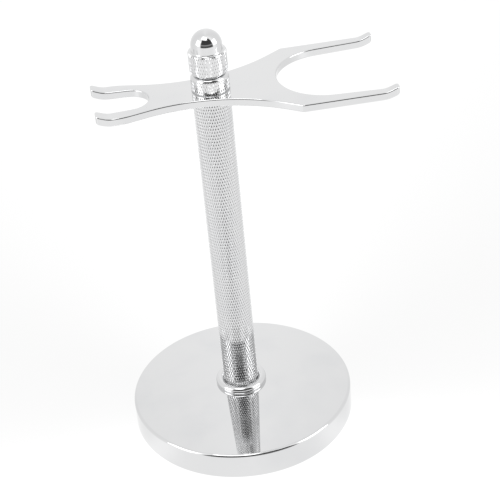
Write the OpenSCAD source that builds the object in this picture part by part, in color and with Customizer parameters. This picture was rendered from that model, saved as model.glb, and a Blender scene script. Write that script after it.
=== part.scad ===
// Razor and brush stand: a heavy disc base, a knurled column and a flat
// double-fork holder plate clamped under a domed, knurled knob.
// Origin: centre of the pad's underside. +Z is up along the column,
// +X points along the holder plate towards the brush fork.

/* [Base] */
// Diameter of the base disc
base_d = 80; // [60:1:110]
// Thickness of the base disc at its rim
base_t = 10; // [9:0.5:16]
// Rise of the base's crowned top from its rim to its middle
base_rise = 3; // [1:0.1:4]
// Rounding of the base's top rim
base_round_top = 1.2; // [0.4:0.1:2]
// Rounding of the base's bottom rim
base_round_bottom = 0.8; // [0.3:0.1:1.5]
// Thickness of the non-slip pad
pad_t = 1.5; // [1:0.1:2]
// How far the pad stands out below the disc
pad_stand_out = 0.5; // [0.3:0.1:0.8]

/* [Column] */
// Diameter of the knurled column
column_d = 12.7; // [12.3:0.1:16]
// Length of the column between base and holder plate
column_len = 117.7; // [90:0.1:160]
// How far the collar ring at the column's foot stands out all round
ring_out = 2.8; // [2.6:0.1:6]
// Height of the collar ring
ring_h = 2.25; // [1.6:0.05:2.9]

/* [Holder plate] */
// Thickness of the holder plate
plate_t = 2.7; // [1.8:0.1:3]
// Half-width of the plate at its waist
waist_half_w = 8; // [7:0.1:9]
// Half-width over the outsides of the brush arms
brush_half_w = 21.6; // [21:0.1:24]
// Width of the brush opening at its round end
brush_gap_w = 34.2; // [28:0.2:35]
// Distance from the column axis to the round end of the brush opening
brush_gap_x = 22; // [20:0.1:26]
// Reach of the brush arms from the column axis to where they bend up
brush_reach = 52.6; // [48:0.1:60]
// Half-width over the outsides of the razor arms
razor_half_w = 11.9; // [11:0.1:14]
// Width of the razor opening
razor_gap_w = 13.6; // [11:0.1:15]
// Distance from the column axis to the round end of the razor opening
razor_gap_x = 20.6; // [19:0.1:24]
// Reach of the razor arms from the column axis to where they bend up
razor_reach = 33.2; // [32:0.1:40]
// Angle through which the four tips are bent up
tip_bend = 22; // [10:1:35]
// Inside radius of the bend at the tips
tip_bend_r = 8; // [4:0.5:8]
// Length of the bent-up tips, seen from above
tip_run = 5.6; // [5:0.1:8]

/* [Knob] */
// Height of the knob's lower knurled collar
collar_h = 5.6; // [4:0.1:8]
// Height of the knob's upper knurled band
band_h = 7.5; // [5:0.1:10]
// Diameter of the dome and of the short cylinder under it
dome_d = 10.4; // [8:0.1:10.8]
// Height of the plain cylinder between the upper band and the dome
dome_lift = 1.9; // [1:0.1:4]
// How far the knob rises as it is unscrewed, still on the stud
knob_travel = 8; // [4:0.8:8]

/* [Fasteners] */
// Diameter of the base screw and of the top stud
thread_d = 5; // [4:1:6]
// Length of the base screw under its head
screw_len = 20; // [16:1:22]

/* [Hidden] */

$fn = 96;

// Every cut starts or ends this far outside the solid it is made in.
past = 1;

// Base: its rounded rim runs tangent into the crowned top, which ends in a
// flat seat for the ring and the column.
base_r = base_d / 2;
base_z = pad_stand_out;
rim_c = [base_r - base_round_top, base_z + base_t - base_round_top];
crown_r = (pow(rim_c[0], 2) + pow(base_rise, 2)) / (2 * base_rise);
crown_edge = asin(rim_c[0] / (crown_r - base_round_top));
crown_c = [0, rim_c[1] - (crown_r - base_round_top) * cos(crown_edge)];
base_seat_r = column_d / 2 + ring_out + 0.3;
base_seat_z = crown_c[1] + sqrt(pow(crown_r, 2) - pow(base_seat_r, 2));

// Heights of the stack on the base's seat.
plate_z = base_seat_z + column_len;
plate_top_z = plate_z + plate_t;

// Base screw: low cylinder head with a hexagon socket, clear of the pad.
thread_r = thread_d / 2;
head_r = 0.85 * thread_d;
head_h = 0.7 * thread_d;
head_clear = 0.3;
socket_af = 0.6 * thread_d;
socket_deep = 0.4 * thread_d;
washer_t = 1.2;
washer_r = 0.92 * thread_d;
washer_bore_r = thread_r + 0.1;
washer_gap = 0.7;
screw_seat_z = pad_t + head_clear + head_h;
screw_chamfer = 0.5;

// Base, from below: recess for the pad, counterbore and clearance hole for
// the screw.
recess_r = base_r - 3;
pad_r = recess_r - 0.3;
counterbore_r = thread_d + 0.2;
counterbore_z = screw_seat_z + washer_t;
clearance_r = thread_r + 0.25;

// Column: a tapped blind hole at each end, and a small chamfer.
column_r = column_d / 2;
tapped_r = thread_r + 0.05;
hole_deep = 14;
hole_cone = 1.4;
column_chamfer = 0.4;
ring_bore_r = column_r + 0.05;
ring_round = 1.5;

// Top stud: fixed in the column, it passes the plate and enters the knob,
// where its last threads still hold when the knob is at the top of its rise.
stud_in_column = 12;
stud_held = 1.3;
stud_z = plate_z - stud_in_column;
stud_len = stud_in_column + plate_t + knob_travel + stud_held;
stud_socket_af = 0.5 * thread_d;
stud_socket_deep = 2.5;

// Holder plate: the outline's arcs and lines.
waist_x = -8.8;
waist_arc_r = 52;
shoulder_angle = 36;
shoulder_corner_r = 1.5;
razor_slope = 15;
razor_corner_r = 20;
gap_flare = 4;
tip_corner_r = 1.1;
plate_bore_r = thread_r + 0.08;
arc_step = 3;
brush_gap_r = brush_gap_w / 2;
brush_gap_cx = brush_gap_x + brush_gap_r;
razor_gap_r = razor_gap_w / 2;
razor_gap_cx = -(razor_gap_x + razor_gap_r);
brush_end_x = brush_reach + tip_run;
razor_end_x = -(razor_reach + tip_run);
plate_blank = base_d;

// Knob: rounded edges, the groove between its two knurled parts, the
// shoulder under the dome, the threaded hole and the washer's recess.
knob_r = column_r;
knob_foot_chamfer = 0.4;
collar_round = 1.4;
groove_w = 0.5;
groove_r = knob_r - 1.65;
band_round = 0.9;
shoulder_chamfer = 0.4;
shoulder_fillet = 0.5;
dome_r = dome_d / 2;
knob_hole_deep = knob_travel + stud_held + 1;
seat_r = 4.2;
seat_deep = 0.8;
seat_fit = 0.05;
band_z = collar_h + groove_w;
shoulder_z = band_z + band_h;
dome_z = shoulder_z + dome_lift;

// Points on an arc about c, from angle a to angle b.
function arc(c, r, a, b, step = 6) =
    let (n = max(2, ceil(abs(b - a) / step)))
    [for (i = [0 : n]) c + r * [cos(a + (b - a) * i / n), sin(a + (b - a) * i / n)]];

// The points in reverse order, mirrored by a sign for x and one for y.
function mirrored(points, signs) =
    [for (i = [len(points) - 1 : -1 : 0]) [points[i][0] * signs[0], points[i][1] * signs[1]]];

module base_disc() {
    color([0.90, 0.90, 0.91])
    difference() {
        rotate_extrude()
            polygon(concat(
                [[0, base_z], [base_r - base_round_bottom, base_z]],
                arc([base_r - base_round_bottom, base_z + base_round_bottom],
                    base_round_bottom, -90, 0, 15),
                arc(rim_c, base_round_top, 0, 90 - crown_edge, 15),
                arc(crown_c, crown_r, 90 - crown_edge, 90 - asin(base_seat_r / crown_r), 0.5),
                [[0, base_seat_z]]));
        cylinder(r = recess_r, h = pad_t);
        cylinder(r = counterbore_r, h = counterbore_z);
        cylinder(r = clearance_r, h = base_seat_z + past);
    }
}

module base_pad() {
    color([0.10, 0.10, 0.11])
    cylinder(r = pad_r, h = pad_t);
}

module base_screw() {
    color([0.62, 0.63, 0.65])
    difference() {
        rotate_extrude()
            polygon([
                [0, screw_seat_z - head_h],
                [head_r - screw_chamfer, screw_seat_z - head_h],
                [head_r, screw_seat_z - head_h + screw_chamfer],
                [head_r, screw_seat_z],
                [thread_r, screw_seat_z],
                [thread_r, screw_seat_z + screw_len - screw_chamfer],
                [thread_r - screw_chamfer, screw_seat_z + screw_len],
                [0, screw_seat_z + screw_len],
            ]);
        translate([0, 0, screw_seat_z - head_h - past])
            hex_hole(socket_af, socket_deep + past);
    }
}

// Hexagon of a width across flats, standing on z = 0.
module hex_hole(af, h) {
    cylinder(r = af / 2 / cos(30), h = h, $fn = 6);
}

// Split spring washer, shown flattened as it is when the screw is tight.
module lock_washer() {
    color([0.55, 0.56, 0.58])
    translate([0, 0, screw_seat_z])
    difference() {
        cylinder(r = washer_r, h = washer_t);
        translate([0, 0, -past])
            cylinder(r = washer_bore_r, h = washer_t + 2 * past);
        translate([0, -washer_gap / 2, -past])
            cube([washer_r + past, washer_gap, washer_t + 2 * past]);
    }
}

// Rounded bead, cut off flat where it stands on the base's seat.
module collar_ring() {
    bead_c = [column_r + ring_out - ring_round, ring_h - ring_round];
    color([0.90, 0.90, 0.91])
    translate([0, 0, base_seat_z])
    rotate_extrude()
        polygon(concat(
            [[ring_bore_r, 0]],
            arc(bead_c, ring_round,
                -asin(bead_c[1] / ring_round),
                acos((ring_bore_r - bead_c[0]) / ring_round), 10)));
}

module column() {
    color([0.84, 0.84, 0.86])
    translate([0, 0, base_seat_z])
    difference() {
        rotate_extrude()
            polygon([
                [0, 0],
                [column_r - column_chamfer, 0],
                [column_r, column_chamfer],
                [column_r, column_len - column_chamfer],
                [column_r - column_chamfer, column_len],
                [0, column_len],
            ]);
        tapped_hole();
        translate([0, 0, column_len])
            mirror([0, 0, 1])
                tapped_hole();
    }
}

// Tapped blind hole opening at z = 0, with its drill point.
module tapped_hole() {
    translate([0, 0, -past])
        cylinder(r = tapped_r, h = hole_deep + past);
    translate([0, 0, hole_deep])
        cylinder(r1 = tapped_r, r2 = 0, h = hole_cone);
}

module top_stud() {
    color([0.62, 0.63, 0.65])
    translate([0, 0, stud_z])
    difference() {
        rotate_extrude()
            polygon([
                [0, 0],
                [thread_r - screw_chamfer, 0],
                [thread_r, screw_chamfer],
                [thread_r, stud_len - screw_chamfer],
                [thread_r - screw_chamfer, stud_len],
                [0, stud_len],
            ]);
        translate([0, 0, stud_len - stud_socket_deep])
            hex_hole(stud_socket_af, stud_socket_deep + past);
    }
}

// Rear edge of the plate's outline, from the brush tip to the razor tip.
function outline_edge() =
    let (
        s = shoulder_angle,
        waist_c = [waist_x, waist_half_w + waist_arc_r],
        shoulder_start = waist_c + waist_arc_r * [sin(s), -cos(s)],
        corner_drop = brush_half_w - shoulder_start[1],
        corner = [shoulder_start[0] + corner_drop / tan(s), brush_half_w],
        corner_c = corner + shoulder_corner_r * [tan(s / 2), -1],
        g = razor_slope,
        razor_start = waist_c + waist_arc_r * [-sin(g), -cos(g)],
        rise = razor_half_w - razor_start[1] - razor_corner_r * (1 - cos(g)),
        razor_line_end = razor_start + rise * [-1 / tan(g), 1],
        razor_c = razor_line_end - razor_corner_r * [sin(g), cos(g)])
    concat(
        arc([brush_end_x - tip_corner_r, brush_half_w - tip_corner_r], tip_corner_r, 0, 90, 15),
        arc(corner_c, shoulder_corner_r, 90, 90 + s, 10),
        arc(waist_c, waist_arc_r, 270 + s, 270 - g, arc_step),
        arc(razor_c, razor_corner_r, 90 - g, 90, arc_step),
        arc([razor_end_x + tip_corner_r, razor_half_w - tip_corner_r], tip_corner_r, 90, 180, 15));

module plate_outline() {
    edge = outline_edge();
    difference() {
        polygon(concat(edge, mirrored(edge, [1, -1])));
        fork_gap(brush_gap_cx, brush_gap_r, brush_end_x, 0);
        fork_gap(-razor_gap_cx, razor_gap_r, -razor_end_x, 180);
    }
}

// Open U with a round end, flared a little, with rounded mouth corners.
module fork_gap(cx, r, end_x, turn) {
    f = gap_flare;
    mouth_x = end_x - tip_corner_r;
    mouth_half_w = r / cos(f) + (mouth_x - cx) * tan(f);
    half = concat(
        arc([cx, 0], r, 180, 90 + f, arc_step),
        arc([mouth_x, mouth_half_w + tip_corner_r], tip_corner_r, -90, 0, 15),
        [[end_x + past, mouth_half_w + tip_corner_r]]);
    rotate(turn)
        polygon(concat(half, mirrored(half, [1, -1])));
}

// Side view of one end of the plate: from the start of the bend, along an arc
// into a straight tip and back. The outline cuts the tip off square.
function bent_end(reach) =
    let (
        bend_c = [reach, plate_t + tip_bend_r],
        outward = [sin(tip_bend), -cos(tip_bend)],
        along = tip_run * [cos(tip_bend), sin(tip_bend)])
    concat(
        arc(bend_c, tip_bend_r + plate_t, -90, tip_bend - 90, 4),
        [bend_c + (tip_bend_r + plate_t) * outward + along],
        [bend_c + tip_bend_r * outward + along],
        arc(bend_c, tip_bend_r, tip_bend - 90, -90, 4));

module plate_side_view() {
    polygon(concat(bent_end(brush_reach), mirrored(bent_end(razor_reach), [-1, 1])));
}

module holder_plate() {
    color([0.90, 0.90, 0.91])
    translate([0, 0, plate_z])
    difference() {
        intersection() {
            linear_extrude(plate_blank)
                plate_outline();
            translate([0, plate_blank / 2, 0])
                rotate([90, 0, 0])
                    linear_extrude(plate_blank)
                        plate_side_view();
        }
        translate([0, 0, -past])
            cylinder(r = plate_bore_r, h = plate_t + 2 * past);
    }
}

// Nylon washer held in the recess under the knob.
module knob_washer() {
    color([0.93, 0.92, 0.88])
    translate([0, 0, plate_top_z])
    difference() {
        cylinder(r = seat_r - seat_fit, h = seat_deep - seat_fit);
        translate([0, 0, -past])
            cylinder(r = plate_bore_r, h = seat_deep + 2 * past);
    }
}

module knob() {
    color([0.88, 0.88, 0.90])
    translate([0, 0, plate_top_z])
    difference() {
        rotate_extrude()
            polygon(knob_profile());
        translate([0, 0, -past])
            cylinder(r = seat_r, h = seat_deep + past);
        cylinder(r = tapped_r, h = knob_hole_deep);
        translate([0, 0, knob_hole_deep])
            cylinder(r1 = tapped_r, r2 = 0, h = hole_cone);
    }
}

// Half profile of the knob, from its foot up to the top of the dome.
function knob_profile() = concat(
    [[0, 0], [knob_r - knob_foot_chamfer, 0], [knob_r, knob_foot_chamfer]],
    arc([knob_r - collar_round, collar_h - collar_round], collar_round, 0, 90, 15),
    [[groove_r, collar_h], [groove_r, band_z]],
    arc([knob_r - band_round, band_z + band_round], band_round, -90, 0, 15),
    [[knob_r, shoulder_z - shoulder_chamfer], [knob_r - shoulder_chamfer, shoulder_z]],
    arc([dome_r + shoulder_fillet, shoulder_z + shoulder_fillet], shoulder_fillet, 270, 180, 15),
    arc([0, dome_z], dome_r, 0, 90, 6));

base_disc();
base_pad();
base_screw();
lock_washer();
collar_ring();
column();
top_stud();
holder_plate();
knob_washer();
knob();
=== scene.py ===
"""Razor and brush stand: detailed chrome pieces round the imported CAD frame, a plain pale
studio and the camera. Lengths named in millimetres are turned into metres with MM."""

import math

import bmesh
import bpy
from mathutils import Euler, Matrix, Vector
from mathutils.geometry import tessellate_polygon


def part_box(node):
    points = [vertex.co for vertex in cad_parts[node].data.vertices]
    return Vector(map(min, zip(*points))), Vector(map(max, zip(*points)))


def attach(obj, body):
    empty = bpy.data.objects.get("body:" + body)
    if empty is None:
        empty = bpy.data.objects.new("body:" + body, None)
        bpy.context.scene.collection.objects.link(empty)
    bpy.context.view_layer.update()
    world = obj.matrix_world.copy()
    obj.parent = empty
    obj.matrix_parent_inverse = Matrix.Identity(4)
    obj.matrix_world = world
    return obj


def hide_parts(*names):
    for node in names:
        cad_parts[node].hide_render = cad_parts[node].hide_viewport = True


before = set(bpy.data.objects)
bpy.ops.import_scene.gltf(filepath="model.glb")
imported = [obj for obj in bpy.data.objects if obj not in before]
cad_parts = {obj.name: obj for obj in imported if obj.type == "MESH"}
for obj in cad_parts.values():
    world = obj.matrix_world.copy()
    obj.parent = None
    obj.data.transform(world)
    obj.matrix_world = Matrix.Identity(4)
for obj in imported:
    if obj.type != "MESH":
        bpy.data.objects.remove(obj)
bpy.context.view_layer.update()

MM = 0.001
TURN = 2 * math.pi
ROUND_STEPS = 256  # segments round the plain turned pieces
SHARP_ANGLE = 20  # degrees between faces above which an edge stays crisp
CUT_TOLERANCE = 1e-8  # metres within which a vertex counts as lying on a cut
RIM_TOLERANCE = 1e-7  # metres within which a vertex counts as lying on an open rim


# ---------------------------------------------------------------- profiles and turned shapes


def arc(centre, radius, start, end, steps=8):
    """Points on an arc about centre, from start to end in degrees."""
    points = []
    for i in range(steps + 1):
        angle = math.radians(start + (end - start) * i / steps)
        points.append((centre[0] + radius * math.cos(angle), centre[1] + radius * math.sin(angle)))
    return points


def rounded(corners, steps=6):
    """A profile through corners (r, z, rounding radius): each corner becomes an arc."""
    points = []
    for i, (r, z, radius) in enumerate(corners):
        here = Vector((r, z))
        if radius == 0:
            points.append((r, z))
            continue
        before = (Vector(corners[i - 1][:2]) - here).normalized()
        after = (Vector(corners[(i + 1) % len(corners)][:2]) - here).normalized()
        half = before.angle(after) / 2
        centre = here + (before + after).normalized() * radius / math.sin(half)
        first = here + before * radius / math.tan(half) - centre
        last = here + after * radius / math.tan(half) - centre
        for k in range(steps + 1):
            spoke = first.slerp(last, k / steps).normalized() * radius
            points.append((centre.x + spoke.x, centre.y + spoke.y))
    return points


def ring_at(bm, angles, radius, z):
    """Vertices at those angles. radius is a number, or a function of the angle."""
    ring = []
    for angle in angles:
        r = radius(angle) if callable(radius) else radius
        ring.append(bm.verts.new((r * math.cos(angle), r * math.sin(angle), z)))
    return ring


def carry_on(bm, ring, profile):
    """Continues a ring of vertices along a profile of (radius, z). Radius 0 closes it."""
    angles = [math.atan2(v.co.y, v.co.x) for v in ring]
    count = len(ring)
    for radius, z in profile:
        if radius == 0:
            tip = bm.verts.new((0, 0, z))
            for i in range(count):
                bm.faces.new((ring[i], ring[(i + 1) % count], tip))
            return ring
        following = ring_at(bm, angles, radius, z)
        for i in range(count):
            k = (i + 1) % count
            bm.faces.new((ring[i], ring[k], following[k], following[i]))
        ring = following
    return ring


def turned(profile, closed, steps=ROUND_STEPS):
    """A solid of revolution. A closed profile is a loop clear of the axis; any other one
    starts and ends on the axis."""
    bm = bmesh.new()
    angles = [TURN * i / steps for i in range(steps)]
    if closed:
        first = ring_at(bm, angles, *profile[0])
        last = carry_on(bm, first, profile[1:])
        for i in range(steps):
            k = (i + 1) % steps
            bm.faces.new((last[i], last[k], first[k], first[i]))
        return bm
    first = ring_at(bm, angles, *profile[1])
    foot = bm.verts.new((0, 0, profile[0][1]))
    for i in range(steps):
        bm.faces.new((first[(i + 1) % steps], first[i], foot))
    carry_on(bm, first, profile[2:])
    return bm


def cut_at(bm, place, facing, **options):
    """Adds vertices where the mesh crosses the plane through place that faces that way."""
    everything = bm.verts[:] + bm.edges[:] + bm.faces[:]
    bmesh.ops.bisect_plane(
        bm, geom=everything, dist=CUT_TOLERANCE, plane_co=place, plane_no=facing, **options
    )


def trim(bm, low, high):
    """Cuts the mesh off level at both heights and returns the two open rims, by angle."""
    for z, side in ((low, -1), (high, 1)):
        cut_at(bm, (0, 0, z), (0, 0, side), clear_outer=True)
    rims = []
    for z in (low, high):
        rim = {v for e in bm.edges if e.is_boundary for v in e.verts if abs(v.co.z - z) < RIM_TOLERANCE}
        rims.append(sorted(rim, key=lambda v: math.atan2(v.co.y, v.co.x)))
    return rims


# ---------------------------------------------------------------- knurls and threads

SPARE_ROWS = 3  # of a knurl or a thread, made past its ends and trimmed off
KNURL_COUNT = 48  # diamonds round the bar
KNURL_LENGTH = 2.38 * MM  # of one diamond along the bar
KNURL_SHARP = 12  # degrees, as SHARP_ANGLE
COLUMN_KNURL = 0.26 * MM  # depth of the pits where four diamonds meet
KNOB_KNURL = 0.13 * MM  # the same on the knob
KNURL_SADDLE = 0.15  # drop between two pits, as a share of the depth
KNURL_CREST = (0.5, 0.7)  # extent of each crest round and along the bar, as a share of its diamond


def knurled_skin(radius, low, high, depth):
    """Diamonds raised on a cylinder, whose crests lie on the radius, past low and high."""
    bm = bmesh.new()
    columns = 2 * KNURL_COUNT
    row_height = KNURL_LENGTH / 2
    rows = math.ceil((high - low) / row_height) + SPARE_ROWS

    def point(column, row, drop):
        angle = TURN * column / columns
        r = radius - drop * depth
        return (r * math.cos(angle), r * math.sin(angle), low + (row - 1) * row_height)

    pits, saddles = {}, {}
    for row in range(rows + 1):
        for column in range(columns):
            if (row + column) % 2:
                pits[column, row] = bm.verts.new(point(column, row, 1))
            for side in (0.5, -0.5):
                place = ((column + side) % columns, row + 0.5)
                if place not in saddles:
                    saddles[place] = bm.verts.new(point(*place, KNURL_SADDLE))
    ways = ((1, 0), (0, 1), (-1, 0), (0, -1))
    for row in range(1, rows):
        for column in range(columns):
            if (row + column) % 2:
                continue
            crest = [
                bm.verts.new(point(column + KNURL_CREST[0] * c, row + KNURL_CREST[1] * r, 0)) for c, r in ways
            ]
            bm.faces.new(crest)
            for i, (c, r) in enumerate(ways):
                k = (i + 1) % 4
                nc, nr = ways[k]
                pit = pits[(column + c) % columns, row + r]
                saddle = saddles[(column + (c + nc) / 2) % columns, row + (r + nr) / 2]
                next_pit = pits[(column + nc) % columns, row + nr]
                bm.faces.new((crest[i], pit, saddle))
                bm.faces.new((crest[i], saddle, crest[k]))
                bm.faces.new((crest[k], saddle, next_pit))
    return bm


def clamp_to(bm, outline):
    """Cuts the skin down to an outline of (radius, z), given upwards."""
    heights = [z for _, z in outline]
    for z in heights[1:-1]:
        cut_at(bm, (0, 0, z), (0, 0, 1))
    for v in bm.verts:
        z = min(max(v.co.z, heights[0]), heights[-1])
        k = 1
        while heights[k] < z:
            k += 1
        share = (z - heights[k - 1]) / (heights[k] - heights[k - 1])
        limit = outline[k - 1][0] + share * (outline[k][0] - outline[k - 1][0])
        r = math.hypot(v.co.x, v.co.y)
        if r > limit:
            v.co.x *= limit / r
            v.co.y *= limit / r


THREAD_PITCH = 0.8 * MM
THREAD_DEPTH = 0.49 * MM
THREAD_SHAPE = ((0, 0), (0.125, 0), (0.4375, 1), (0.6875, 1))  # share of the pitch, of the depth
THREAD_STEPS = 48


def threaded_skin(radius, low, high):
    """A right-hand thread whose crests lie on the radius, past low and high."""
    bm = bmesh.new()
    turns = math.ceil((high - low) / THREAD_PITCH) + SPARE_ROWS
    stations = len(THREAD_SHAPE)
    grid = []
    for i in range(THREAD_STEPS):
        angle = TURN * i / THREAD_STEPS
        line = []
        for j in range(turns * stations):
            along, drop = THREAD_SHAPE[j % stations]
            r = radius - drop * THREAD_DEPTH
            z = low + THREAD_PITCH * (j // stations - 2 + along + i / THREAD_STEPS)
            line.append(bm.verts.new((r * math.cos(angle), r * math.sin(angle), z)))
        grid.append(line)
    for i in range(THREAD_STEPS):
        last = i == THREAD_STEPS - 1
        following = grid[(i + 1) % THREAD_STEPS]
        shift = stations if last else 0  # after a turn the rows meet one pitch higher
        for j in range(turns * stations - 1 - shift):
            bm.faces.new(
                (grid[i][j + shift], following[j], following[j + 1], grid[i][j + 1 + shift])
                if last
                else (grid[i][j], following[j], following[j + 1], grid[i][j + 1])
            )
    return bm


def hexagon(across_flats):
    """The hexagon's radius as a function of the angle."""
    sixth = TURN / 6

    def radius(angle):
        return across_flats / 2 / math.cos(angle % sixth - sixth / 2)

    return radius


# ---------------------------------------------------------------- pieces


def finish_piece(bm, name, body, node, sharp=SHARP_ANGLE):
    """Makes the object, which stands for a CAD node and moves with its body."""
    bmesh.ops.recalc_face_normals(bm, faces=bm.faces)
    mesh = bpy.data.meshes.new(name)
    bm.to_mesh(mesh)
    bm.free()
    for polygon in mesh.polygons:
        polygon.use_smooth = True
    mesh.set_sharp_from_angle(angle=math.radians(sharp))
    piece = bpy.data.objects.new(name, mesh)
    bpy.context.scene.collection.objects.link(piece)
    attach(piece, body)
    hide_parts(node)
    return piece


def even_normals(piece):
    """Flat faces keep flat shading right up to the roundings beside them."""
    modifier = piece.modifiers.new("even_normals", "WEIGHTED_NORMAL")
    modifier.keep_sharp = True


base_low, base_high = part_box("base_disc")
pad_low, pad_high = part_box("base_pad")
screw_low, screw_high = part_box("base_screw")
lock_low, lock_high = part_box("lock_washer")
ring_low, ring_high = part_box("collar_ring")
column_low, column_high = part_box("column")
stud_low, stud_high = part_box("top_stud")
plate_low, plate_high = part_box("holder_plate")
seat_low, seat_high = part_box("knob_washer")
knob_low, knob_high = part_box("knob")

TAPPED_R = stud_high.x + 0.05 * MM
HOLE_DEEP = 14 * MM
HOLE_CONE = 1.4 * MM  # height of the drill point
END_CHAMFER = 0.5 * MM  # of the screw and the stud
SOCKET_CONE = 0.6 * MM  # height of the drill point in a hexagon socket
EDGE_BEVEL = 0.12 * MM  # of both washers


RIM_T = 10 * MM  # the disc's thickness at its rim
RIM_ROUND = 1.2 * MM
FOOT_ROUND = 0.8 * MM
CROWN_RISE = 3 * MM
SEAT_MARGIN = 0.3 * MM  # of flat seat round the ring
PAD_GAP = 0.3 * MM  # between the pad and its recess
HEAD_GAP = 0.95 * MM  # between the screw's head and its counterbore
SHANK_GAP = 0.2 * MM  # by which the clearance hole exceeds a tapped one
BORE_EDGE = 0.1 * MM
RECESS_EDGE = 0.2 * MM
RIM_SECOND = 5  # degrees up the rim's rounding to the second point of its arc


def make_base():
    """Solid disc with a crowned top, rounded rims, the pad's recess and the screw's
    counterbore below."""
    r = base_high.x
    bottom, top = base_low.z, base_high.z
    rim_c = (r - RIM_ROUND, bottom + RIM_T - RIM_ROUND)
    crown_r = (rim_c[0] ** 2 + CROWN_RISE**2) / (2 * CROWN_RISE)
    crown_edge = math.degrees(math.asin(rim_c[0] / (crown_r - RIM_ROUND)))
    crown_c = (0, rim_c[1] - (crown_r - RIM_ROUND) * math.cos(math.radians(crown_edge)))
    seat_r = ring_high.x + SEAT_MARGIN
    seat_edge = math.degrees(math.asin(seat_r / crown_r))
    recess_r = pad_high.x + PAD_GAP
    bore_r = screw_high.x + HEAD_GAP
    clear_r = TAPPED_R + SHANK_GAP
    profile = rounded(
        [
            (clear_r, lock_high.z, BORE_EDGE),
            (bore_r, lock_high.z, 0),
            (bore_r, pad_high.z, RECESS_EDGE),
            (recess_r, pad_high.z, 0),
            (recess_r, bottom, RECESS_EDGE),
            (r, bottom, FOOT_ROUND),
            (r, rim_c[1], 0),
        ],
        steps=10,
    )
    profile += arc(rim_c, RIM_ROUND, RIM_SECOND, 90 - crown_edge, steps=18)
    profile += arc(crown_c, crown_r, 90 - crown_edge, 90 - seat_edge, steps=40)[1:]
    profile += [(clear_r, top)]
    piece = finish_piece(turned(profile, closed=True), "base_body", "stand", "base_disc")
    even_normals(piece)
    return piece


PAD_GROOVE = 0.25 * MM  # depth, and half the width of its floor
PAD_GROOVE_EDGE = 0.1 * MM
PAD_RING_STEP = 3 * MM
PAD_RINGS = range(5, 12)
PAD_FOOT_ROUND = 0.35 * MM


def make_pad():
    """Rubber disc with a rounded lower edge and shallow concentric grip grooves."""
    r = pad_high.x
    bottom, top = pad_low.z, pad_high.z
    groove = PAD_GROOVE
    corners = [(0, bottom, 0)]
    for k in PAD_RINGS:
        middle = k * PAD_RING_STEP
        corners += [
            (middle - 2 * groove, bottom, PAD_GROOVE_EDGE),
            (middle - groove, bottom + groove, PAD_GROOVE_EDGE),
            (middle + groove, bottom + groove, PAD_GROOVE_EDGE),
            (middle + 2 * groove, bottom, PAD_GROOVE_EDGE),
        ]
    corners += [(r, bottom, PAD_FOOT_ROUND), (r, top, RECESS_EDGE), (0, top, 0)]
    profile = rounded(corners, steps=3)
    piece = finish_piece(turned(profile, closed=False), "pad", "stand", "base_pad")
    even_normals(piece)
    return piece


BEAD_R = 1.5 * MM
BEAD_BORE_GAP = 0.05 * MM


def make_ring():
    """Rounded bead on a straight bore, cut off flat where it stands on the base's seat."""
    inner = column_high.x + BEAD_BORE_GAP
    bead_c = (ring_high.x - BEAD_R, ring_high.z - BEAD_R)
    start = -math.degrees(math.asin((bead_c[1] - ring_low.z) / BEAD_R))
    end = math.degrees(math.acos((inner - bead_c[0]) / BEAD_R))
    profile = [(inner, ring_low.z)] + arc(bead_c, BEAD_R, start, end, steps=48)
    return finish_piece(turned(profile, closed=True), "bead_ring", "stand", "collar_ring")


COLUMN_CHAMFER = 0.4 * MM


def make_column():
    """Knurled bar, chamfered at both ends and tapped at both ends."""
    r = column_high.x
    low, high = column_low.z, column_high.z
    chamfer = COLUMN_CHAMFER
    bm = knurled_skin(r, low, high, COLUMN_KNURL)
    clamp_to(bm, [(r - chamfer, low), (r, low + chamfer), (r, high - chamfer), (r - chamfer, high)])
    bottom_rim, top_rim = trim(bm, low, high)
    hole = [(TAPPED_R, 0), (TAPPED_R, HOLE_DEEP), (0, HOLE_DEEP + HOLE_CONE)]
    carry_on(bm, bottom_rim, [(radius, low + deep) for radius, deep in hole])
    carry_on(bm, top_rim, [(radius, high - deep) for radius, deep in hole])
    return finish_piece(bm, "knurled_column", "stand", "column", KNURL_SHARP)


KNOB_COLLAR = 5.6 * MM
KNOB_GROOVE = 0.5 * MM
KNOB_BAND = 7.5 * MM
KNOB_NECK = 1.9 * MM
KNOB_CHAMFER = 0.4 * MM  # at the foot and the shoulder
KNOB_COLLAR_ROUND = 1.4 * MM
KNOB_BAND_ROUND = 0.9 * MM
KNOB_GROOVE_DEEP = 1.65 * MM
KNOB_GROOVE_LEAN = 0.02 * MM  # by which the groove's side walls lean
KNOB_FILLET = 0.5 * MM
KNOB_HOLE_DEEP = 10.3 * MM
DOME_R = 5.2 * MM
DOME_LAST = 86  # degrees up the dome to the last row before its tip
SEAT_FIT = 0.05 * MM  # between the washer and its recess


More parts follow.
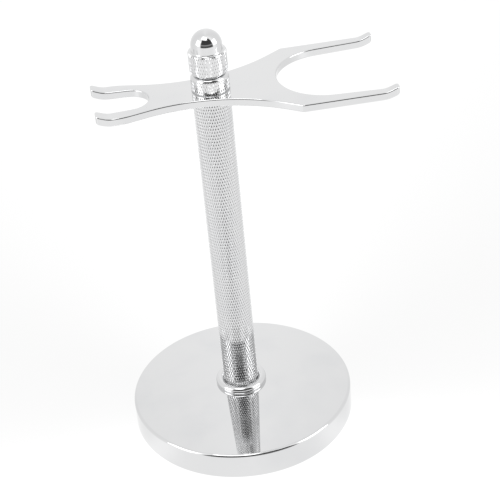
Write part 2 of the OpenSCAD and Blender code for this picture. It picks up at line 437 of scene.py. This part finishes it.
def make_knob():
    """One turned piece: knurled collar, groove, knurled band, neck and dome."""
    r = knob_high.x
    foot = knob_low.z
    groove_r = r - KNOB_GROOVE_DEEP
    collar_top = foot + KNOB_COLLAR
    band_low = collar_top + KNOB_GROOVE
    shoulder = band_low + KNOB_BAND
    dome_z = shoulder + KNOB_NECK
    collar_c = (r - KNOB_COLLAR_ROUND, collar_top - KNOB_COLLAR_ROUND)
    band_c = (r - KNOB_BAND_ROUND, band_low + KNOB_BAND_ROUND)
    outline = [(r - KNOB_CHAMFER, foot), (r, foot + KNOB_CHAMFER)]
    outline += arc(collar_c, KNOB_COLLAR_ROUND, 0, 90, steps=9)
    outline += [(groove_r, collar_top + KNOB_GROOVE_LEAN), (groove_r, band_low - KNOB_GROOVE_LEAN)]
    outline += arc(band_c, KNOB_BAND_ROUND, -90, 0, steps=6)
    outline += [(r, shoulder - KNOB_CHAMFER), (r - KNOB_CHAMFER, shoulder)]
    bm = knurled_skin(r, foot, shoulder, KNOB_KNURL)
    clamp_to(bm, outline)
    foot_rim, shoulder_rim = trim(bm, foot, shoulder)
    fillet = KNOB_FILLET
    top = arc((DOME_R + fillet, shoulder + fillet), fillet, 270, 180, steps=6)
    top += arc((0, dome_z), DOME_R, 0, DOME_LAST, steps=34)
    carry_on(bm, shoulder_rim, top + [(0, knob_high.z)])
    seat_r = seat_high.x + SEAT_FIT
    seat_z = seat_high.z + SEAT_FIT
    hole_top = foot + KNOB_HOLE_DEEP
    under = [(seat_r, foot), (seat_r, seat_z), (TAPPED_R, seat_z), (TAPPED_R, hole_top)]
    carry_on(bm, foot_rim, under + [(0, hole_top + HOLE_CONE)])
    return finish_piece(bm, "domed_knob", "knob", "knob", KNURL_SHARP)


STUD_SOCKET = 2.5 * MM  # across flats, and its depth
SCREW_SOCKET = 3 * MM  # across flats
SCREW_SOCKET_DEEP = 2 * MM


def make_stud():
    """Threaded stud with a hexagon socket in its upper end."""
    r = stud_high.x
    low, high = stud_low.z, stud_high.z
    chamfer = END_CHAMFER
    socket = hexagon(STUD_SOCKET)
    socket_z = high - STUD_SOCKET
    bm = threaded_skin(r, low, high)
    clamp_to(bm, [(r - chamfer, low), (r, low + chamfer), (r, high - chamfer), (r - chamfer, high)])
    bottom_rim, top_rim = trim(bm, low, high)
    carry_on(bm, bottom_rim, [(0, low)])
    carry_on(bm, top_rim, [(socket, high), (socket, socket_z), (0, socket_z - SOCKET_CONE)])
    return finish_piece(bm, "threaded_stud", "stand", "top_stud")


def make_screw():
    """Base screw: threaded shank, cylinder head and hexagon socket below."""
    shank_r = stud_high.x
    head_r = screw_high.x
    seat = lock_low.z
    low, high = screw_low.z, screw_high.z
    chamfer = END_CHAMFER
    socket = hexagon(SCREW_SOCKET)
    socket_z = low + SCREW_SOCKET_DEEP
    bm = threaded_skin(shank_r, seat, high)
    clamp_to(bm, [(shank_r, seat), (shank_r, high - chamfer), (shank_r - chamfer, high)])
    seat_rim, top_rim = trim(bm, seat, high)
    carry_on(bm, top_rim, [(0, high)])
    head = [(head_r, seat), (head_r, low + chamfer), (head_r - chamfer, low)]
    carry_on(bm, seat_rim, head + [(socket, low), (socket, socket_z), (0, socket_z + SOCKET_CONE)])
    return finish_piece(bm, "socket_screw", "stand", "base_screw")


SPLIT_GAP = 9  # degrees
SPLIT_SLANT = 12  # degrees by which the split leans over the wire's height
SPLIT_STEPS = 120
SPLIT_BORE_GAP = 0.05 * MM
SEAT_BORE_GAP = 0.03 * MM


def make_lock_washer():
    """Spring washer of square wire, split on a slant."""
    inner = TAPPED_R + SPLIT_BORE_GAP
    outer = lock_high.x
    low, high = lock_low.z, lock_high.z
    bevel = EDGE_BEVEL
    section = rounded(
        [(inner, low, bevel), (outer, low, bevel), (outer, high, bevel), (inner, high, bevel)], steps=3
    )
    gap = math.radians(SPLIT_GAP)
    slant = math.radians(SPLIT_SLANT)
    bm = bmesh.new()
    rows = []
    for i in range(SPLIT_STEPS + 1):
        row = []
        for radius, z in section:
            lean = slant * ((z - low) / (high - low) - 0.5)
            angle = gap / 2 + lean + (TURN - gap) * i / SPLIT_STEPS
            row.append(bm.verts.new((radius * math.cos(angle), radius * math.sin(angle), z)))
        rows.append(row)
    count = len(section)
    for a, b in zip(rows, rows[1:]):
        for i in range(count):
            k = (i + 1) % count
            bm.faces.new((a[i], a[k], b[k], b[i]))
    bm.faces.new(rows[0])
    bm.faces.new(rows[-1])
    return finish_piece(bm, "split_washer", "stand", "lock_washer")


def make_seat_washer():
    """Nylon washer with softened edges."""
    inner = TAPPED_R + SEAT_BORE_GAP
    bevel = EDGE_BEVEL
    low, high = seat_low.z, seat_high.z
    profile = rounded(
        [(inner, low, bevel), (seat_high.x, low, bevel), (seat_high.x, high, bevel), (inner, high, bevel)]
    )
    piece = finish_piece(turned(profile, closed=True), "seat_washer", "knob_seat", "knob_washer")
    even_normals(piece)
    return piece


# ---------------------------------------------------------------- holder plate

PLATE_T = knob_low.z - plate_low.z
EDGE_R = 0.5 * MM
EDGE_STEPS = 5
BEND_R = 8 * MM
BEND_ANGLE = math.radians(22)
BEND_STATIONS = 9
TIP_RUN = 5.6 * MM
BRUSH_REACH = plate_high.x - TIP_RUN
RAZOR_REACH = -plate_low.x - TIP_RUN
PLATE_BORE_GAP = 0.08 * MM
TIP_CORNER_R = 1.1 * MM
GAP_FLARE = math.radians(4)
BRUSH_GAP_X = 22 * MM  # from the column's axis to the opening's round end
BRUSH_GAP_R = 17.1 * MM
RAZOR_GAP_X = 20.6 * MM
RAZOR_GAP_R = 6.8 * MM
WAIST_AT = Vector((-8.8, 8 + 52)) * MM  # centre of the waist's arc
WAIST_R = 52 * MM
SHOULDER_ANGLE = 36  # degrees
SHOULDER_R = 1.5 * MM
RAZOR_SLOPE = 15  # degrees
RAZOR_HALF_W = 11.9 * MM
RAZOR_R = 20 * MM


def spoke_arc(centre, radius, start, end, side, step):
    """Outline points on an arc, each with the way out of the plate: along the spoke (side 1)
    or against it (side -1)."""
    count = max(2, math.ceil(abs(end - start) / step))
    points = []
    for i in range(count + 1):
        angle = math.radians(start + (end - start) * i / count)
        spoke = Vector((math.cos(angle), math.sin(angle)))
        points.append((Vector(centre) + radius * spoke, side * spoke))
    return points


def fork_side(gap_x, gap_r, end_x):
    """One side of a fork's opening, from the middle of its round end to the arm's tip."""
    flare = math.degrees(GAP_FLARE)
    corner_r = TIP_CORNER_R
    centre_x = gap_x + gap_r
    mouth_x = end_x - corner_r
    mouth_y = gap_r / math.cos(GAP_FLARE) + (mouth_x - centre_x) * math.tan(GAP_FLARE)
    round_end = spoke_arc((centre_x, 0), gap_r, 180, 90 + flare, side=-1, step=1.5)
    return round_end + spoke_arc(
        (mouth_x, mouth_y + corner_r), corner_r, -90 + flare, 0, side=1, step=10
    )


def mirrored(points, sign_x, sign_y):
    """The same points in reverse order, mirrored."""
    flip = Vector((sign_x, sign_y))
    return [(point * flip, way * flip) for point, way in reversed(points)]


def half_outline():
    """The rear half of the plate's outline, from the brush opening to the razor opening."""
    corner_r = TIP_CORNER_R
    half_w = plate_high.y
    s = SHOULDER_ANGLE
    rake = math.radians(s)
    shoulder_start = WAIST_AT + WAIST_R * Vector((math.sin(rake), -math.cos(rake)))
    corner_x = shoulder_start.x + (half_w - shoulder_start.y) / math.tan(rake)
    shoulder_c = (corner_x + SHOULDER_R * math.tan(math.radians(s / 2)), half_w - SHOULDER_R)
    g = RAZOR_SLOPE
    slope = Vector((-math.cos(math.radians(g)), math.sin(math.radians(g))))
    way = Vector((math.sin(math.radians(g)), math.cos(math.radians(g))))
    razor_start = WAIST_AT - WAIST_R * way
    rise = RAZOR_HALF_W - razor_start.y - RAZOR_R * (1 - way.y)
    razor_c = razor_start + slope * rise / slope.y - RAZOR_R * way
    brush_tip_c = (plate_high.x - corner_r, half_w - corner_r)
    razor_tip_c = (plate_low.x + corner_r, RAZOR_HALF_W - corner_r)
    return (
        fork_side(BRUSH_GAP_X, BRUSH_GAP_R, plate_high.x)
        + spoke_arc(brush_tip_c, corner_r, 0, 90, side=1, step=10)
        + spoke_arc(shoulder_c, SHOULDER_R, 90, 90 + s, side=1, step=6)
        + spoke_arc(WAIST_AT, WAIST_R, 270 + s, 270 - g, side=-1, step=0.75)
        + spoke_arc(razor_c, RAZOR_R, 90 - g, 90, side=1, step=1.5)
        + spoke_arc(razor_tip_c, corner_r, 90, 180, side=1, step=10)
        + mirrored(fork_side(RAZOR_GAP_X, RAZOR_GAP_R, -plate_low.x), -1, 1)
    )


def bend_height(x, radius):
    """Height of a face of the plate over its flat part, where it bends up about an axis
    radius above it, and its slope."""
    beyond = max(x - BRUSH_REACH, -x - RAZOR_REACH, 0)
    turned_x = radius * math.sin(BEND_ANGLE)
    if beyond < turned_x:
        drop = math.sqrt(radius * radius - beyond * beyond)
        height, slope = radius - drop, beyond / drop
    else:
        slope = math.tan(BEND_ANGLE)
        height = radius * (1 - math.cos(BEND_ANGLE)) + (beyond - turned_x) * slope
    return height, slope if x > 0 else -slope


def edge_levels():
    """The plate's edge, upwards: the inset from the outline, the height, and how far the
    normal points up."""
    levels = []
    for i in range(EDGE_STEPS + 1):
        angle = math.pi / 2 * i / EDGE_STEPS
        levels.append((EDGE_R * (1 - math.sin(angle)), EDGE_R * (1 - math.cos(angle)), -math.cos(angle)))
    return levels + [(inset, PLATE_T - z, -up) for inset, z, up in reversed(levels)]


def plate_wall(bm, way_layer, loop):
    """Adds the edge along one loop of the outline, and returns its lowest and highest rows."""
    rows = []
    for inset, z, up in edge_levels():
        level = math.sqrt(1 - up * up)
        row = []
        for point, way in loop:
            at = point - way * inset
            vert = bm.verts.new((at.x, at.y, z))
            vert[way_layer] = Vector((way.x * level, way.y * level, up))
            row.append(vert)
        rows.append(row)
    count = len(loop)
    for a, b in zip(rows, rows[1:]):
        for i in range(count):
            k = (i + 1) % count
            bm.faces.new((a[i], a[k], b[k], b[i]))
    return rows[0], rows[-1]


def bend_tips(bm, way_layer):
    """Bends the four tips up, sets the plate at its height, and returns its normals."""
    for k in range(BEND_STATIONS + 1):
        beyond = (BEND_R + PLATE_T) * math.sin(BEND_ANGLE) * k / BEND_STATIONS
        for x in (BRUSH_REACH + beyond, -RAZOR_REACH - beyond):
            cut_at(bm, (x, 0, 0), (1, 0, 0))
    bmesh.ops.recalc_face_normals(bm, faces=bm.faces)
    ways = []
    for v in bm.verts:
        share = v.co.z / PLATE_T
        low, low_slope = bend_height(v.co.x, BEND_R + PLATE_T)
        high, high_slope = bend_height(v.co.x, BEND_R)
        slope = low_slope + share * (high_slope - low_slope)
        v.co.z = plate_low.z + low + share * (PLATE_T + high - low)
        way = v[way_layer].normalized()
        ways.append(Vector((way.x - slope * way.z, way.y, way.z)).normalized())
    return ways


def make_plate():
    """Flat double fork with rounded edges, whose four tips are bent up."""
    rear = half_outline()
    outline = rear + mirrored(rear, 1, -1)[1:-1]
    bore_r = stud_high.x + PLATE_BORE_GAP
    bore = spoke_arc((0, 0), bore_r, 360, 0, side=-1, step=5)[:-1]
    bm = bmesh.new()
    way_layer = bm.verts.layers.float_vector.new("way")
    walls = [plate_wall(bm, way_layer, loop) for loop in (outline, bore)]
    for loops in zip(*walls):
        verts = [v for loop in loops for v in loop]
        for triangle in tessellate_polygon([[v.co for v in loop] for loop in loops]):
            bm.faces.new([verts[i] for i in triangle])
    ways = bend_tips(bm, way_layer)
    mesh = bpy.data.meshes.new("fork_plate")
    bm.to_mesh(mesh)
    bm.free()
    for polygon in mesh.polygons:
        polygon.use_smooth = True
    mesh.normals_split_custom_set_from_vertices(ways)
    piece = bpy.data.objects.new("fork_plate", mesh)
    bpy.context.scene.collection.objects.link(piece)
    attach(piece, "holder")
    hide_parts("holder_plate")
    return piece


# ---------------------------------------------------------------- materials


def new_material(name, metallic, colour, roughness):
    """A Principled material and its nodes; the constants sit on the shader's own sockets."""
    material = bpy.data.materials.new(name)
    material.use_nodes = True
    nodes, links = material.node_tree.nodes, material.node_tree.links
    shader = nodes["Principled BSDF"]
    shader.inputs["Metallic"].default_value = metallic
    shader.inputs["Base Color"].default_value = (*colour, 1)
    shader.inputs["Roughness"].default_value = roughness
    return material, nodes, links, shader


def noise(nodes, links, scale, detail=3, stretch=(1, 1, 1)):
    """Noise in object space; scale is in bumps per metre."""
    place = nodes.new("ShaderNodeTexCoord")
    mapping = nodes.new("ShaderNodeMapping")
    mapping.inputs["Scale"].default_value = stretch
    texture = nodes.new("ShaderNodeTexNoise")
    texture.inputs["Scale"].default_value = scale
    texture.inputs["Detail"].default_value = detail
    links.new(place.outputs["Object"], mapping.inputs["Vector"])
    links.new(mapping.outputs["Vector"], texture.inputs["Vector"])
    return texture.outputs["Fac"]


def spread(nodes, links, value, low, high, from_low=0.3, from_high=0.7):
    """Maps a noise value onto a range."""
    ramp = nodes.new("ShaderNodeMapRange")
    ramp.inputs["From Min"].default_value = from_low
    ramp.inputs["From Max"].default_value = from_high
    ramp.inputs["To Min"].default_value = low
    ramp.inputs["To Max"].default_value = high
    links.new(value, ramp.inputs["Value"])
    return ramp.outputs["Result"]


def tint(nodes, links, factor, first, second):
    """A colour between two, by a factor."""
    mix = nodes.new("ShaderNodeMix")
    mix.data_type = "RGBA"
    mix.inputs["A"].default_value = (*first, 1)
    mix.inputs["B"].default_value = (*second, 1)
    links.new(factor, mix.inputs["Factor"])
    return mix.outputs["Result"]


def bump(nodes, links, shader, height, distance):
    """Raises the surface by height times distance, in metres."""
    node = nodes.new("ShaderNodeBump")
    node.inputs["Distance"].default_value = distance
    links.new(height, node.inputs["Height"])
    links.new(node.outputs["Normal"], shader.inputs["Normal"])


CHROME = (0.718, 0.720, 0.724)
CHROME_HAZE = (0.690, 0.694, 0.702)
HANDLED_SPAN = (0.45, 0.75)  # noise values over which the haze sets in
WIPE_DEPTH = 0.4e-6  # metres
RUBBER = (0.012, 0.012, 0.013)
RUBBER_DARK = (0.010, 0.010, 0.011)
RUBBER_WORN = (0.022, 0.022, 0.023)
NYLON = (0.80, 0.78, 0.71)
NYLON_LIGHT = (0.82, 0.80, 0.73)
NYLON_DARK = (0.76, 0.73, 0.65)


def chrome(name, polish=0.03, haze=0.05):
    """Polished chrome plate: faint haze where it has been handled, fine wiping marks."""
    material, nodes, links, shader = new_material(name, 1, CHROME, polish)
    handled = noise(nodes, links, scale=70, detail=4)
    factor = spread(nodes, links, handled, 0, 1, *HANDLED_SPAN)
    links.new(tint(nodes, links, factor, CHROME, CHROME_HAZE), shader.inputs["Base Color"])
    dulled = spread(nodes, links, handled, polish, haze, *HANDLED_SPAN)
    links.new(dulled, shader.inputs["Roughness"])
    wiped = noise(nodes, links, scale=900, detail=2, stretch=(1, 0.15, 1))
    bump(nodes, links, shader, wiped, distance=WIPE_DEPTH)
    return material


def rubber(name):
    """Matt black rubber with a fine moulded grain."""
    material, nodes, links, shader = new_material(name, metallic=0, colour=RUBBER, roughness=0.7)
    grain = noise(nodes, links, scale=2500, detail=3)
    worn = noise(nodes, links, scale=90, detail=4)
    factor = spread(nodes, links, worn, 0, 1)
    links.new(tint(nodes, links, factor, RUBBER_DARK, RUBBER_WORN), shader.inputs["Base Color"])
    links.new(spread(nodes, links, worn, low=0.6, high=0.8), shader.inputs["Roughness"])
    bump(nodes, links, shader, grain, distance=0.04 * MM)
    return material


def plated_steel(name, light, dark, polish, dull):
    """Zinc-plated or bare spring steel: cloudy, with fine turning marks."""
    material, nodes, links, shader = new_material(name, 1, light, polish)
    clouds = noise(nodes, links, scale=260, detail=4)
    factor = spread(nodes, links, clouds, 0, 1)
    links.new(tint(nodes, links, factor, light, dark), shader.inputs["Base Color"])
    links.new(spread(nodes, links, clouds, polish, dull), shader.inputs["Roughness"])
    marks = noise(nodes, links, scale=1800, detail=2, stretch=(0.2, 0.2, 1))
    bump(nodes, links, shader, marks, distance=0.004 * MM)
    return material


def nylon(name):
    """Natural nylon: off-white, with a satin, faintly mottled skin."""
    material, nodes, links, shader = new_material(name, metallic=0, colour=NYLON, roughness=0.42)
    mottle = noise(nodes, links, scale=400, detail=4)
    factor = spread(nodes, links, mottle, 0, 1)
    links.new(tint(nodes, links, factor, NYLON_LIGHT, NYLON_DARK), shader.inputs["Base Color"])
    links.new(spread(nodes, links, mottle, low=0.36, high=0.5), shader.inputs["Roughness"])
    bump(nodes, links, shader, mottle, distance=0.01 * MM)
    return material


# ---------------------------------------------------------------- studio and camera

CAMERA_AT = Vector((-43.9, -452.8, 364.3)) * MM
CAMERA_HEADING = 6.51  # degrees from +Y towards +X
CAMERA_PITCH = 32.96  # degrees below level
CAMERA_ROLL = -5.46
CAMERA_LENS = 111.8  # mm, on a 36 mm sensor
CAMERA_SENSOR = 36  # mm
CAMERA_NEAR = 0.01  # metres
CAMERA_SIDE = math.degrees(math.atan2(-CAMERA_AT.x, -CAMERA_AT.y))
STAND_MIDDLE = Vector((0, 0, 80)) * MM


def make_camera():
    """The camera, at the photograph's viewing angle."""
    data = bpy.data.cameras.new("camera")
    data.sensor_width = CAMERA_SENSOR
    data.lens = CAMERA_LENS
    data.clip_start = CAMERA_NEAR
    camera = bpy.data.objects.new("camera", data)
    bpy.context.scene.collection.objects.link(camera)
    aim = Euler((math.radians(90 - CAMERA_PITCH), 0, math.radians(-CAMERA_HEADING))).to_matrix()
    roll = Euler((0, 0, math.radians(CAMERA_ROLL))).to_matrix()
    camera.matrix_world = (aim @ roll).to_4x4()
    camera.location = CAMERA_AT
    bpy.context.scene.camera = camera


def studio_point(azimuth, elevation, distance):
    """A point round the stand: azimuth in degrees from the camera's side, to its right."""
    side = math.radians(azimuth - CAMERA_SIDE)
    up = math.radians(elevation)
    way = Vector((math.sin(side) * math.cos(up), -math.cos(side) * math.cos(up), math.sin(up)))
    return STAND_MIDDLE + distance * way


def aim_at_stand(obj):
    """Turns a light to face the middle of the stand."""
    way = STAND_MIDDLE - obj.location
    obj.rotation_euler = way.to_track_quat("-Z", "Y").to_euler()


def softbox(name, azimuth, elevation, distance, width, height, brightness):
    """A rectangular soft light facing the stand, as bright as brightness times white."""
    data = bpy.data.lights.new(name, "AREA")
    data.shape = "RECTANGLE"
    data.size = width
    data.size_y = height
    data.energy = brightness * math.pi * width * height
    light = bpy.data.objects.new(name, data)
    light.location = studio_point(azimuth, elevation, distance)
    bpy.context.scene.collection.objects.link(light)
    aim_at_stand(light)


def emission_material(name, strength):
    """A material that only glows, and its nodes."""
    material = bpy.data.materials.new(name)
    material.use_nodes = True
    nodes, links = material.node_tree.nodes, material.node_tree.links
    nodes.clear()
    glow = nodes.new("ShaderNodeEmission")
    glow.inputs["Strength"].default_value = strength
    out = nodes.new("ShaderNodeOutputMaterial")
    links.new(glow.outputs["Emission"], out.inputs["Surface"])
    return material, nodes, links, glow


ROOM_TONE = 1.08  # brightness of the room where nothing stands out

# tone of the screen on the camera's side, by height above the floor in metres
FLAG_TONES = (
    (0.12, ROOM_TONE),
    (0.14, 0.10),
    (0.36, 0.10),
    (0.40, 0.35),
    (0.50, 0.30),
    (0.56, 0.06),
    (1.42, 0.05),
    (1.50, ROOM_TONE),
)


# the same for a narrower, nearer one above it
OVERHEAD_TONES = ((0.70, 0.05), (0.90, 0.05), (1.15, ROOM_TONE))
FLAG_STEPS = 60  # across a screen's width


def flag(name, azimuths, tones, distance, soft):
    """A dark curved screen that only shows in reflections. tones gives its tone by height,
    and over the outer parts of its width, a share soft each, it brightens to the room's."""
    bm = bmesh.new()
    shade = bm.verts.layers.float.new("shade")
    across = FLAG_STEPS
    grid = []
    for height, tone in tones:
        row = []
        for i in range(across + 1):
            azimuth = azimuths[0] + (azimuths[1] - azimuths[0]) * i / across
            side = math.radians(azimuth - CAMERA_SIDE)
            vert = bm.verts.new((distance * math.sin(side), -distance * math.cos(side), height))
            share = min(min(i / across, 1 - i / across) / soft, 1)
            vert[shade] = ROOM_TONE + (tone - ROOM_TONE) * share * share * (3 - 2 * share)
            row.append(vert)
        grid.append(row)
    for a, b in zip(grid, grid[1:]):
        for i in range(across):
            bm.faces.new((a[i], a[i + 1], b[i + 1], b[i]))
    mesh = bpy.data.meshes.new(name)
    bm.to_mesh(mesh)
    bm.free()
    screen = bpy.data.objects.new(name, mesh)
    bpy.context.scene.collection.objects.link(screen)
    material, nodes, links, glow = emission_material(name, 1)
    tone = nodes.new("ShaderNodeAttribute")
    tone.attribute_name = "shade"
    links.new(tone.outputs["Fac"], glow.inputs["Strength"])
    mesh.materials.append(material)
    screen.visible_camera = False
    screen.visible_diffuse = False
    screen.visible_shadow = False


# brightness round the studio, by azimuth from the camera's side
ROOM_TONES = (
    (0, ROOM_TONE),
    (40, ROOM_TONE),
    (58, 1.17),
    (75, 1.04),
    (115, 0.96),
    (150, 1.0),
    (180, ROOM_TONE),
)
TONE_SCALE = 2.0  # the brightness that the curve's top stands for
FLOOR_REACH = 6  # metres from the stand to the floor's edge


def room_tone(nodes, links, place):
    """The room's brightness at a place, or in a direction, by its azimuth."""
    turn = nodes.new("ShaderNodeVectorRotate")
    turn.rotation_type = "Z_AXIS"
    turn.inputs["Angle"].default_value = math.radians(CAMERA_SIDE)
    split = nodes.new("ShaderNodeSeparateXYZ")
    azimuth = nodes.new("ShaderNodeMath")
    azimuth.operation = "ARCTAN2"
    flip = nodes.new("ShaderNodeMath")
    flip.operation = "MULTIPLY"
    flip.inputs[1].default_value = -1
    size = nodes.new("ShaderNodeMath")
    size.operation = "ABSOLUTE"
    share = nodes.new("ShaderNodeMath")
    share.operation = "DIVIDE"
    share.inputs[1].default_value = math.pi
    ramp = nodes.new("ShaderNodeFloatCurve")
    links.new(place, turn.inputs["Vector"])
    links.new(turn.outputs["Vector"], split.inputs["Vector"])
    links.new(split.outputs["Y"], flip.inputs[0])
    links.new(split.outputs["X"], azimuth.inputs[0])
    links.new(flip.outputs[0], azimuth.inputs[1])
    links.new(azimuth.outputs[0], size.inputs[0])
    links.new(size.outputs[0], share.inputs[0])
    links.new(share.outputs[0], ramp.inputs["Value"])
    curve = ramp.mapping.curves[0]
    for angle, tone in ROOM_TONES[1:-1]:
        curve.points.new(angle / 180, tone / TONE_SCALE)
    curve.points[0].location = (0, ROOM_TONES[0][1] / TONE_SCALE)
    curve.points[-1].location = (1, ROOM_TONES[-1][1] / TONE_SCALE)
    ramp.mapping.update()
    scale = nodes.new("ShaderNodeMath")
    scale.operation = "MULTIPLY"
    scale.inputs[1].default_value = TONE_SCALE
    links.new(ramp.outputs[0], scale.inputs[0])
    return scale.outputs[0]


def make_floor():
    """A wide pale floor, bright enough to stay white."""
    bm = bmesh.new()
    bmesh.ops.create_grid(bm, x_segments=1, y_segments=1, size=FLOOR_REACH)
    mesh = bpy.data.meshes.new("floor")
    bm.to_mesh(mesh)
    bm.free()
    floor = bpy.data.objects.new("floor", mesh)
    bpy.context.scene.collection.objects.link(floor)
    material, nodes, links, glow = emission_material("floor", 1)
    place = nodes.new("ShaderNodeNewGeometry")
    links.new(room_tone(nodes, links, place.outputs["Position"]), glow.inputs["Strength"])
    mesh.materials.append(material)


def make_world():
    """The room round the stand, evenly pale, a little brighter and darker by azimuth."""
    world = bpy.data.worlds.new("studio")
    bpy.context.scene.world = world
    world.use_nodes = True
    nodes, links = world.node_tree.nodes, world.node_tree.links
    background = nodes["Background"]
    place = nodes.new("ShaderNodeTexCoord")
    links.new(room_tone(nodes, links, place.outputs["Generated"]), background.inputs["Strength"])
    background.inputs["Color"].default_value = (1, 1, 1, 1)


def make_studio():
    """Pale room and floor, soft lights, and the dark screens that the chrome mirrors."""
    make_world()
    make_floor()
    flag("camera_side", azimuths=(-46, 50), tones=FLAG_TONES, distance=1.0, soft=0.06)
    flag("overhead_gap", azimuths=(12, 45), tones=OVERHEAD_TONES, distance=0.44, soft=0.2)
    side = {"elevation": 26, "distance": 1.1, "width": 0.55, "height": 0.6}
    softbox("left_box", azimuth=-68, brightness=1.8, **side)
    softbox("right_box", azimuth=70, brightness=2.0, **side)
    top = {"elevation": 70, "distance": 1.0, "width": 0.5, "height": 0.34}
    softbox("top_bar", azimuth=-24, brightness=2.0, **top)
    bpy.context.scene.view_settings.view_transform = "Standard"


# ---------------------------------------------------------------- assembly

make_camera()
make_studio()

zinc = plated_steel(
    "zinc_plated_steel", light=(0.56, 0.57, 0.59), dark=(0.46, 0.47, 0.50), polish=0.22, dull=0.36
)
spring = plated_steel(
    "spring_steel", light=(0.30, 0.30, 0.32), dark=(0.20, 0.20, 0.22), polish=0.3, dull=0.45
)
LOOKS = (
    (make_base, chrome("chrome_base", polish=0.0, haze=0.02)),
    (make_pad, rubber("pad_rubber")),
    (make_screw, zinc),
    (make_lock_washer, spring),
    (make_ring, chrome("chrome_ring")),
    (make_column, chrome("chrome_knurled", polish=0.06, haze=0.10)),
    (make_stud, zinc),
    (make_plate, chrome("chrome_plate")),
    (make_seat_washer, nylon("nylon")),
    (make_knob, chrome("chrome_knob")),
)
for make, look in LOOKS:
    make().data.materials.append(look)
